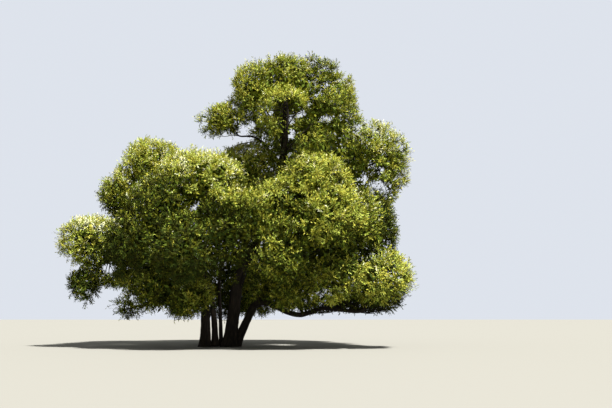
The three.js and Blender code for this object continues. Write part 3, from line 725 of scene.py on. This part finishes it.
# Silver sprays stand for pale undersides turned by the wind; they go only to sprays already lit by the
# painted light, towards the tops, so they are partly painted highlight
SILVERED = {"left_top": 0.3, "left_shoulder": 0.25, "far_left": 0.42, "left_lump": 0.15,
            "right_upper": 0.2, "right_outer": 0.12, "right_top_front": 0.12, "lobe_left": 0.12,
            "top_centre": 0.06, "left_back": 0.1, "right_lobe": 0.06}
FEW_SILVERED = 0.04
SILVER_FROM, SILVER_TONE, LIGHTEST, SILVER_RISE = 0.4, 1.2, 1.05, 0.4
SEED = 20
rng = np.random.default_rng(SEED)

# Where the sky shows through the crown: pixels across and down the photo's frame, and half sizes
WINDOWS = [
    (244, 129, 8, 4), (250, 114, 4, 4), (246, 120, 2, 2), (233, 108, 2, 3), (268, 113, 4, 4),
    (260, 106, 2, 2), (261, 115, 2, 2), (291, 119, 3, 5), (299, 115, 4, 3.5), (292, 134, 2, 3),
    (326, 119, 6, 3), (309, 104, 2, 4), (316, 96, 2, 2), (378, 186, 8, 5), (365, 178, 4, 3),
    (380, 171, 3, 3), (372, 166, 3, 3), (198, 204, 2.5, 2), (192, 209, 2, 2.5), (406, 203, 3, 3),
    (109, 270, 7, 6), (253, 127, 4, 4), (232, 146, 6, 2.5),
]

# Where a mass is thin enough in the same frame to show what is behind it, such as the main stem
# and the fork of the dome
CLEFT = [(237, 284, 5, 8), (241, 272, 6, 8), (247, 260, 7, 8), (254, 248, 6, 8)]
THIN_PLACES = {"right_front_left": [(248, 176, 24, 16)], "left_top": [(262, 172, 20, 20)],
               "centre_front": CLEFT, "right_front_low": CLEFT, "right_under": CLEFT,
               "right_top_front": [(276, 148, 34, 22), (314, 146, 26, 7)],
               "top_front": [(286, 114, 7, 16), (277, 113, 8, 6), (298, 114, 9, 7)],
               "mid_upper": [(286, 140, 8, 20), (300, 128, 11, 6)]}
WINDOW_EDGE, WINDOW_FADE = 1.4, 0.8
CLUMPS_LEFT, LEAVES_LEFT = (0.4, 1.0), (0.35, 1.2)
SHADE_MARGIN, SHADE_LEFT = 2.0, 0.3

# The camera, in metres, and its frame in pixels
EYE = np.array([3.75, -42.5, 1.7])
EYE_RISE = math.radians(7.24)
FRAME_WIDE, FRAME_HIGH = 612, 408
LENS, FILM_WIDE, SEE_TO = 50, 36, 500
FOCAL = LENS * FRAME_WIDE / FILM_WIDE


def frame_place(points):
    """Where points fall in the photo's frame, in pixels."""
    out = points - EYE
    ahead = out[..., 1] * math.cos(EYE_RISE) + out[..., 2] * math.sin(EYE_RISE)
    above = out[..., 2] * math.cos(EYE_RISE) - out[..., 1] * math.sin(EYE_RISE)
    return FRAME_WIDE / 2 + FOCAL * out[..., 0] / ahead, FRAME_HIGH / 2 - FOCAL * above / ahead


def window_at(mass, points, margin=0.0):
    """From 1 in the middle of one of a mass's windows to 0 outside all of them."""
    across, down = frame_place(points)
    deepest = np.zeros(len(points))
    for x, y, half_x, half_y in WINDOWS + THIN_PLACES.get(mass["name"], []):
        far = np.hypot((across - x) / (half_x + margin), (down - y) / (half_y + margin))
        deepest = np.maximum(deepest, WINDOW_EDGE - far)
    return np.clip(deepest / WINDOW_FADE, 0, 1)


def branches_of(mass, stem):
    """The source's branches: where each leaves the mass's stem, where it forks, and its aim."""
    number = mass["number"]
    heading = unit(stem[-1] - stem[0])
    rows = []
    for i, direction in enumerate(directions_of(mass)):
        reach = reach_of(mass, direction)
        share = ROOT_LOW + (ROOT_HIGH - ROOT_LOW) * (0.5 + 0.5 * direction @ heading)
        place = share * STEM_PARTS
        k = min(int(place), STEM_PARTS - 1)
        root = mix(stem[k], stem[k + 1], place - k)
        fork = reach * (END_LEAST + END_SPREAD * chance(number, END_DRAWS + i))
        end = mass["middle"] + direction * fork + UP * reach * END_ARCH
        leaning = unit(direction + wobble(number, LEAN_DRAWS + i) * SPRAY_LEAN)
        rows.append((root, end, unit(direction + leaning)))
    return rows


class Region:
    """The branches, shoots and leaves of neighbouring masses, each kind joined into one piece."""

    def __init__(self):
        self.branches, self.shoots, self.leaves = Batch(), Batch(), Batch()

    def add_leaves(self, base, direction, facing, long, wide, droop, tones):
        """Lance-shaped leaves that bow across their widest part, of two triangles each."""
        count = len(base)
        side = np.cross(direction, facing)
        long, wide, droop = long[:, None], wide[:, None], droop[:, None]
        waist = base + direction * long * LEAF_WAIST
        tip = base + direction * long - facing * droop * long
        points = np.stack([base, waist - side * wide / 2, waist + side * wide / 2, tip], axis=1)
        corners = np.arange(count)[:, None] * 4 + np.array([0, 2, 1, 1, 2, 3])
        self.leaves.add(points.reshape(-1, 3), corners, np.full(count * 2, 3), np.repeat(tones, 2))

    def add_shoots(self, start, end):
        """Thin shoots of three sides that come to a point."""
        count = len(start)
        heading = unit(end - start)
        across = sideways(heading, 0)
        other = np.cross(heading, across)
        rows = [start + (across * math.cos(a) + other * math.sin(a)) * SHOOT_RADIUS
                for a in np.arange(3) * FULL_TURN / 3]
        points = np.stack([*rows, end], axis=1).reshape(-1, 3)
        corners = np.arange(count)[:, None] * 4 + np.array([0, 1, 3, 1, 2, 3, 2, 0, 3])
        self.shoots.add(points, corners, np.full(count * 3, 3), np.zeros(count * 3))

    def add_branch(self, way, radii, sides, steps):
        """A thin branch through points, thinner towards its end, without caps on the finest."""
        thick, thin = radii
        add_tube(self.branches, catmull(way, steps), np.linspace(thick, thin, steps + 1), sides,
                 closed=sides > 3)


regions = {mass["region"]: Region() for mass in masses.values()}


def rise_at(mass, point):
    """From -1 at the bottom of a mass to 1 at its top."""
    return np.clip((point - mass["middle"])[2] / mass["half"][2], -1, 1)


def grow_clump(mass, centre, size, fork, opened, lighter, limited=True):
    """A clump: shoots that fan out of one fork, with leaves along them, painted paler on the sun's side
    as painted light.
    """
    region = regions[mass["region"]]
    between = mix(fork, centre, FORK_BEND) + UP * FORK_RISE
    most = SHOOTS_IN_OPEN_MASS if mass["open"] else SHOOTS
    count = int(round(most * opened * size / CLUMP_SIZE))
    if not count:
        return
    region.add_branch([fork, between, centre], *TWIG)
    outward = unit(unit(centre - mass["middle"]) + POLE_FROM_CROWN * unit(centre - CROWN_CENTRE))
    pole = unit(outward * POLE_OUT + UP * POLE_UP + rng.normal(0, POLE_VARY, 3))
    across = sideways(pole, rng.uniform(0, CAP_TURN))
    cap = golden_sphere(int(count / CAP_SHARE))[:count]
    radial = cap @ np.stack([across, np.cross(pole, across), pole])
    aim = unit(AIM_OUT * radial + AIM_POLE * pole + rng.normal(0, AIM_VARY, (count, 3)) + WIND)
    length = (size * rng.uniform(*SHOOT_LONG, count))[:, None]
    base = mix(fork, centre, rng.uniform(*SHOOT_START, count)[:, None])
    tip = centre + radial * TIP_OUT * length + aim * TIP_AIM * length
    if limited:
        out = tip - mass["middle"]
        away = norm(out, axis=1)
        allowed = reach_of(mass, unit(out)) + rng.uniform(*TIP_PAST, count)
        tip = mass["middle"] + out * np.minimum(1, allowed / away)[:, None]
    region.add_shoots(base, tip)

    # Leaves round each shoot, from near its base to its tip
    n = int(round(mix(LEAVES_SHUT, LEAVES_OPEN, opened)))
    share = (np.arange(n) + 0.5 + rng.uniform(-LEAF_SHIFT, LEAF_SHIFT, (count, n))) / n
    share = mix(LEAF_FIRST, 1, share)[..., None]
    base, tip = base[:, None], tip[:, None]
    place = mix(base, tip, share)
    heading = unit(tip - base) * np.ones_like(place)
    turn = np.arange(n) * GOLDEN_ANGLE + rng.uniform(0, LEAF_TURN, (count, 1))
    fan = sideways(heading, turn) * mix(*LEAF_FAN, share)
    direction = unit(LEAF_ALONG * heading + fan - UP * LEAF_HANG + WIND * LEAF_WIND
                     + rng.normal(0, LEAF_VARY, place.shape))
    facing = UP * FACE_UP + pole * FACE_POLE + rng.normal(0, FACE_VARY, direction.shape)
    facing = unit(facing - direction * (facing * direction).sum(axis=-1, keepdims=True))

    # Tones, as painted light and shade: by the clump, then by the spray, paler on its sun side, then by
    # the leaf. Silver goes only to lit sprays near the top, partly painted highlight
    sunny = (radial @ SUNWARD)[:, None]
    tone = lighter + SPRAY_BY_SUN * sunny + rng.normal(0, SPRAY_VARY, (count, 1))
    tone = tone + TONE_ALONG * (share[..., 0] - 0.5) + rng.normal(0, TONE_VARY, (count, n))
    turned = mass["silvered"] * max(rise_at(mass, centre) + SILVER_RISE, 0)
    silvered = rng.random((count, 1)) < turned
    tone = np.where(silvered & (tone > SILVER_FROM), SILVER_TONE, np.minimum(tone, LIGHTEST))
    tones = np.digitize(tone, TONE_STEPS) * 2 + (rng.random((count, 1)) < FRESH_SHARE)
    place = place.reshape(-1, 3)
    total = len(place)
    kept = window_at(mass, place) < rng.uniform(*LEAVES_LEFT, total)
    region.add_leaves(place[kept], direction.reshape(-1, 3)[kept], facing.reshape(-1, 3)[kept],
                      (LEAF_LONG * rng.uniform(*LONG_VARY, total))[kept],
                      (LEAF_WIDE * rng.uniform(*WIDE_VARY, total))[kept],
                      rng.uniform(0, LEAF_DROOP, total)[kept], tones.ravel()[kept])


def shade_leaves(mass, aims, far, facing):
    """Large leaves inside a mass, coloured dark as painted shade of its inside and less dark high up as
    painted light, left out where the sky shows through."""
    place = mass["middle"] + aims * far[:, None]
    tones = (place[:, 2] - DARK_BELOW) / LIGHT_OVER + rng.random(len(place))
    tones = np.clip(np.floor(tones), 0, 1) * 2 + (rng.random(len(place)) < FRESH_SHARE)
    direction = unit(np.cross(facing, rng.normal(0, 1, aims.shape)))
    kept = (window_at(mass, place, SHADE_MARGIN) <= SHADE_LEFT) & (far > SHADE_LEAST_FAR)
    sizes = (np.full(kept.sum(), size) for size in (SHADE_LONG, SHADE_WIDE, SHADE_DROOP))
    regions[mass["region"]].add_leaves(place[kept], direction[kept], facing[kept], *sizes, tones[kept])


def fill_valley(mass, centre, opened):
    """Leaves coloured dark as painted shade where a clump is mostly hidden, so that no sky shows between
    the masses.
    """
    count = int(round(FILL_COUNT * (1 - opened)))
    place = centre + rng.normal(0, FILL_SPREAD, (count, 3))
    place = place[filled_at(place) > 1]
    out = place - mass["middle"]
    away = norm(out, axis=1)
    if len(place):
        shade_leaves(mass, out / away[:, None], away, unit(rng.normal(0, 1, out.shape)))


def grow_mass(mass):
    """A mass: its stem and branches, the clumps on its surface, and the dark leaves inside it."""
    region = regions[mass["region"]]
    way = mass_stem_way(mass)
    stem = catmull(way, STEM_PARTS)
    radii = (limbs[mass["on"]]["radii"][1] * STEM_THIN, STEM_END_RADIUS)
    region.add_branch(way, radii, *STEM_SHAPE)
    rows = branches_of(mass, stem)
    for i, (root, end, _) in enumerate(rows):
        aside = sideways(unit(end - root), i) * BRANCH_BEND * norm(end - root)
        bend = mix(root, end, 0.5) + aside
        region.add_branch([root, bend, end], *BRANCH)
    aims = np.array([row[2] for row in rows])

    count = int(4 * math.pi * mass["radius"] ** 2 / CLUMP_APART ** 2 * CLUMP_SPARE)
    spread = unit(golden_sphere(count) + rng.normal(0, CLUMP_JITTER / math.sqrt(count), (count, 3)))
    sizes = CLUMP_SIZE * (1 + CLUMP_VARY * rng.uniform(-1, 1, count))
    sunk = SUNK_MOST * rng.random(count) ** 2
    reach = reach_of(mass, spread)
    lump = noise_at(mass["middle"] + spread * reach[:, None], LUMP_APART, LUMP_SEED)
    far = reach * (1 + 2 * LUMPS * (lump - LUMP_MEAN)) - sizes * CLUMP_DEEP - sunk
    centres = mass["middle"] + spread * np.maximum(far, reach * LEAST_FAR)[:, None]
    opened = smoothly(np.clip((openness_of(centres) - SHUT_BELOW) / (OPEN_FROM - SHUT_BELOW), 0, 1))
    owner = (spread @ aims.T).argmax(axis=1)
    windowed = window_at(mass, centres)
    for c, centre in enumerate(centres):
        if windowed[c] > rng.uniform(*CLUMPS_LEFT):
            continue
        # Painted light and shade: a clump is lighter where it is open, high or near its mass's top,
        # lumped out or on a lighter mass, and darker where sunk or near a window
        height = np.clip((centre[2] - HEIGHT_FROM) / HEIGHT_OVER, 0, 1)
        lighter = (CLUMP_TONE + TONE_BY_OPEN * opened[c] + TONE_BY_HEIGHT * height
                   + TONE_BY_RISE * rise_at(mass, centre) - TONE_BY_SUNK * sunk[c]
                   + TONE_BY_LUMP * (lump[c] - 0.5) - TONE_BY_WINDOW * windowed[c] + mass["lighter"])
        grow_clump(mass, centre, sizes[c], rows[owner[c]][1], opened[c], lighter)
        if not mass["open"]:
            fill_valley(mass, centre, opened[c])
    if mass["open"]:
        return
    count = int(SHELL_COUNT * DENSER.get(mass["name"], 1) * mass["radius"] ** 2)
    aims = unit(rng.normal(0, 1, (count, 3)))
    reach = reach_of(mass, aims)
    hidden = filled_at(mass["middle"] + aims * reach[:, None]) > HIDDEN_FROM
    far = reach - rng.uniform(np.where(hidden, 0, SHELL_NEAR), SHELL_FAR)
    shade_leaves(mass, aims, far, unit(aims + rng.normal(0, SHELL_TILT, aims.shape)))
    count = int(INNER_COUNT * mass["radius"] ** 2)
    aims = unit(rng.normal(0, 1, (count, 3)))
    far = reach_of(mass, aims) * rng.uniform(INNER_NEAR, INNER_FAR, count)
    shade_leaves(mass, aims, far, unit(rng.normal(0, 1, aims.shape)))


for mass in masses.values():
    mass["silvered"] = SILVERED.get(mass["name"], FEW_SILVERED)
    mass["lighter"] = PAINTED_LIGHT.get(mass["name"], 0)
    grow_mass(mass)

# Bare twigs that show against the sky, in millimetres: the mass each belongs to, its radius at
# both ends, and the points that it passes
BARE_TWIGS = [
    ("right_under", (62, 34), [[3700, -440, 1600], [3760, -460, 1900], [3880, -520, 2300],
                               [4150, -700, 2900]]),
    ("lobe_left", (22, 9), [[1550, 250, 10330], [950, 120, 10300], [450, 0, 10180], [150, -60, 10060],
                            [-60, -100, 9950], [-210, -120, 9800], [-360, -140, 9600]]),
    ("lobe_left", (9, 5), [[260, -40, 10110], [230, -60, 10000], [200, -60, 9900]]),
    ("lobe_left", (9, 5), [[-60, -100, 9950], [-180, -90, 9960], [-330, -100, 9900]]),
    ("lobe_left", (24, 9), [[400, 100, 10600], [0, 60, 10640], [-450, 0, 10560], [-880, -40, 10650]]),
    ("lobe_left", (14, 7), [[180, 80, 10720], [-50, 60, 10900], [-400, 40, 11000]]),
    ("mid_upper", (95, 45), [[2600, 200, 8600], [2720, -1300, 9300], [2800, -2400, 10050],
                             [2880, -2650, 11100], [2780, -2400, 12000]]),
    ("mid_upper", (34, 14), [[2800, -2400, 10050], [2450, -2750, 10700], [2050, -2600, 11500]]),
    ("mid_upper", (30, 12), [[2850, -2550, 10500], [3250, -2800, 11050], [3700, -2500, 11500]]),
    ("mid_upper", (26, 11), [[2740, -1700, 9500], [3350, -2500, 9950], [3900, -2600, 10500]]),
]
for name, radii, way in BARE_TWIGS:
    region = regions[masses[name]["region"]]
    region.add_branch(np.array(way) * MM, np.array(radii) * MM, *BARE_SHAPE)

# Tufts that hang or stand between the masses, in hundredths of a metre: the mass that they belong to,
# their usual size and lightness, and the centre of each, with its own size and lightness where they
# aren't the usual ones. The lightness is painted light and shade: the dark tufts stand in for shade
# between the masses
TUFTS = [
    ("lobe_left", 42, 20, [
        (-95, -5, 1072, 34), (-135, 0, 1080, 30), (-62, 2, 1080, 26), (105, -10, 1130, 42, 15),
        (125, -40, 1090, 38, 0), (75, 0, 1210), (50, 0, 1240, 42, 25), (10, -10, 1215),
        (45, -10, 1180, 42, 10), (20, 0, 1155, 40, 0), (85, -10, 1160, 42, 10), (60, 0, 1140, 36, 0),
        (115, 10, 1200, 42, 10), (145, 0, 1140, 40, 0), (-45, 0, 1202, 36, 25), (-12, 0, 1228, 36, 25),
        (-80, 0, 1185, 34, 25)]),
    ("centre_front", 50, 50, [
        (15, -190, 335, 50, -35), (75, -180, 380, 50, -30), (-45, -190, 370, 50, -35),
        (45, -170, 420, 50, -30), (130, -180, 350, 45, -30), (-30, -430, 690), (20, -450, 690),
        (70, -450, 690), (120, -430, 680), (0, -490, 650, 50, 45), (50, -500, 650), (100, -490, 650),
        (170, -500, 660), (140, -510, 630, 50, 40)]),
    ("right_front_low", 50, 10, [
        (260, -470, 555), (310, -490, 530), (220, -480, 530, 50, 5)]),
    ("back_low", 50, -60, [
        (-90, 150, 200), (-50, 160, 260), (-10, 160, 310), (-90, 160, 300), (-30, 160, 200),
        (10, 150, 240), (50, 160, 330), (-60, 170, 370), (-100, 120, 250), (-130, 140, 290),
        (-10, 150, 390), (30, 150, 430), (-60, 140, 440), (-60, 130, 200), (-10, 130, 200),
        (30, 130, 200, 40), (-110, 150, 360), (-90, 150, 420), (-70, 150, 160, 40),
        (-110, 150, 170, 40), (-30, 150, 160, 40)]),
    ("centre_back", 50, -30, [
        (90, -60, 800), (120, -20, 830), (70, -10, 790), (130, -80, 780), (40, 30, 770), (100, 10, 750)]),
    ("right_front_left", 50, -40, [
        (190, -90, 700, 50, -30), (150, -120, 700, 50, -30), (220, -120, 690, 50, -30),
        (160, -50, 720, 50, -30), (230, -70, 730, 50, -30), (140, -100, 620), (170, -90, 610),
        (190, -110, 640), (150, -70, 570), (200, -80, 590), (130, -130, 650)]),
    ("right_outer", 50, 35, [
        (650, -290, 710), (670, -290, 670), (640, -310, 680), (690, -280, 630), (660, -310, 630),
        (690, -280, 580, 50, 30), (660, -310, 580, 50, 30), (680, -280, 530, 50, 20),
        (650, -310, 530, 50, 20)]),
    ("top_right", 45, 10, [
        (435, 30, 1442, 40, 20), (475, 30, 1435, 40, 20), (515, 30, 1420, 40, 20),
        (400, 20, 1455, 40, 20), (455, -20, 1410, 42), (500, -20, 1400, 42), (425, 0, 1380),
        (465, 0, 1372), (405, 10, 1350, 45, 0), (490, -20, 1360), (440, -30, 1345, 45, 0),
        (410, 30, 1405)]),
]
TUFT_FORK = np.array([0.25, 0, -0.03])
for name, *usual, tufts in TUFTS:
    for tuft in tufts:
        tuft = np.array([*tuft, *usual[len(tuft) - 3:]]) / 100
        centre, size, lighter = tuft[:3], tuft[3], tuft[4]
        grow_clump(masses[name], centre, size, centre + TUFT_FORK, 1.0, lighter, limited=False)

# Tufts that fill the fork over the start of the long low bough, darkened as painted shade under the crown
FORK_TUFTS, FORK_SPAN, FORK_SIZE, FORK_OPENED, FORK_DARK = 22, (0.06, 0.54), 0.40, 0.7, -0.5
FORK_OUT = ((-0.1, 0.1), (-0.5, 0.4), (0.25, 0.55))
low_bough = limbs["bough_low_right"]


def drawn(spans):
    """A number from each span."""
    return np.array([rng.uniform(*span) for span in spans])


for i in range(FORK_TUFTS):
    root = point_on(low_bough, mix(*FORK_SPAN, i / (FORK_TUFTS - 1)))
    centre = root + drawn(FORK_OUT)
    grow_clump(masses["right_under"], centre, FORK_SIZE, root, FORK_OPENED, FORK_DARK, limited=False)

# Fine twigs that fan out to the right from the long low bough, under its foliage, with tufts darkened as
# painted shade
LOW_TWIGS, LOW_SPAN, LOW_LONG, LOW_VARY, LOW_FURTHEST = 32, (0.42, 0.97), (1.9, 1.6), (0.8, 1.2), 8.7
LOW_ACROSS, LOW_DROOP = ((-0.7, 0.7), (-0.05, 0.45)), (-0.14, 0.05)
LOW_BENDS = ((0, 0), (0.3, 1), (0.65, 0.6), (1, 0))
LOW_SIDES, LOW_SIDE_OUT, LOW_SAG = (2, 4, 5, 7, 8), ((0.1, 0.7), (-0.3, 0.3), (0.1, 0.7)), 0.04
LOW_TUFT, LOW_OPENED, LOW_DARK = 0.29, 0.5, -0.5
low_region = regions[masses["right_lobe"]["region"]]
for i in range(LOW_TWIGS):
    share = i / (LOW_TWIGS - 1)
    start = point_on(low_bough, mix(*LOW_SPAN, share))
    length = min(mix(*LOW_LONG, share) * rng.uniform(*LOW_VARY), LOW_FURTHEST - start[0])
    along = np.array([length, *drawn(LOW_ACROSS)])
    droop = UP * rng.uniform(*LOW_DROOP)
    way = np.array([start + along * at + droop * bend for at, bend in LOW_BENDS])
    low_region.add_branch(way, *LOW_TWIG)
    for step in LOW_SIDES:
        root = catmull(way, LOW_TWIG[-1])[step]
        rise = drawn(LOW_SIDE_OUT)
        low_region.add_branch([root, root + rise / 2 - UP * LOW_SAG, root + rise], *SIDE_TWIG)
        grow_clump(masses["right_lobe"], root + rise, LOW_TUFT, root, LOW_OPENED, LOW_DARK,
                   limited=False)

for name, region in regions.items():
    nodes = [mass["name"] for mass in masses.values() if mass["region"] == name]
    region.branches.build(f"branches_{name}", [BARK], "bark", nodes)
    region.shoots.build(f"shoots_{name}", [SHOOT], "bark", nodes)
    region.leaves.build(f"leaves_{name}", LEAF_TONES, "foliage", nodes)


# Floor, light and camera

FLOOR, FLOOR_COLOUR, FLOOR_ROUGH, FLOOR_SHINE = 150, (0.27, 0.27, 0.255), 0.9, 0.2
SKY_LIGHT, SKY_SEEN = (0.36, 0.36, 0.34, 1), (0.73, 0.77, 0.84, 1)
SUN_FROM, SUN_COLOUR, SUN_POWER, SUN_WIDE = (0.30, -0.34, 0.89), (1.0, 0.96, 0.88), 9.5, 5

floor_mesh = bpy.data.meshes.new("floor")
corners = [(x * FLOOR, y * FLOOR, 0) for x, y in ((-1, -1), (1, -1), (1, 1), (-1, 1))]
floor_mesh.from_pydata(corners, [], [(0, 1, 2, 3)])
floor_mesh.materials.append(plain("pale_floor", FLOOR_COLOUR, FLOOR_ROUGH, FLOOR_SHINE))
put("floor", floor_mesh)

# The camera sees a paler sky than the one that lights the tree
world = bpy.data.worlds.new("soft_sky")
world.use_nodes = True
sky_nodes, sky_links = world.node_tree.nodes, world.node_tree.links
background = sky_nodes["Background"]
ray = sky_nodes.new("ShaderNodeLightPath")
sky = sky_nodes.new("ShaderNodeMix")
sky.data_type = "RGBA"
sky.inputs["A"].default_value = SKY_LIGHT
sky.inputs["B"].default_value = SKY_SEEN
sky_links.new(ray.outputs["Is Camera Ray"], sky.inputs["Factor"])
sky_links.new(sky.outputs["Result"], background.inputs["Color"])
bpy.context.scene.world = world

sun = bpy.data.lights.new("key", "SUN")
sun.energy = SUN_POWER
sun.angle = math.radians(SUN_WIDE)
sun.color = SUN_COLOUR
put("key", sun).rotation_euler = Vector(SUN_FROM).to_track_quat("Z", "Y").to_euler()

camera_data = bpy.data.cameras.new("camera")
camera_data.lens = LENS
camera_data.sensor_width = FILM_WIDE
camera_data.clip_end = SEE_TO
camera = put("camera", camera_data)
camera.location = EYE
camera.rotation_euler = (math.pi / 2 + EYE_RISE, 0, 0)
bpy.context.scene.camera = camera
bpy.context.scene.view_settings.view_transform = "Standard"
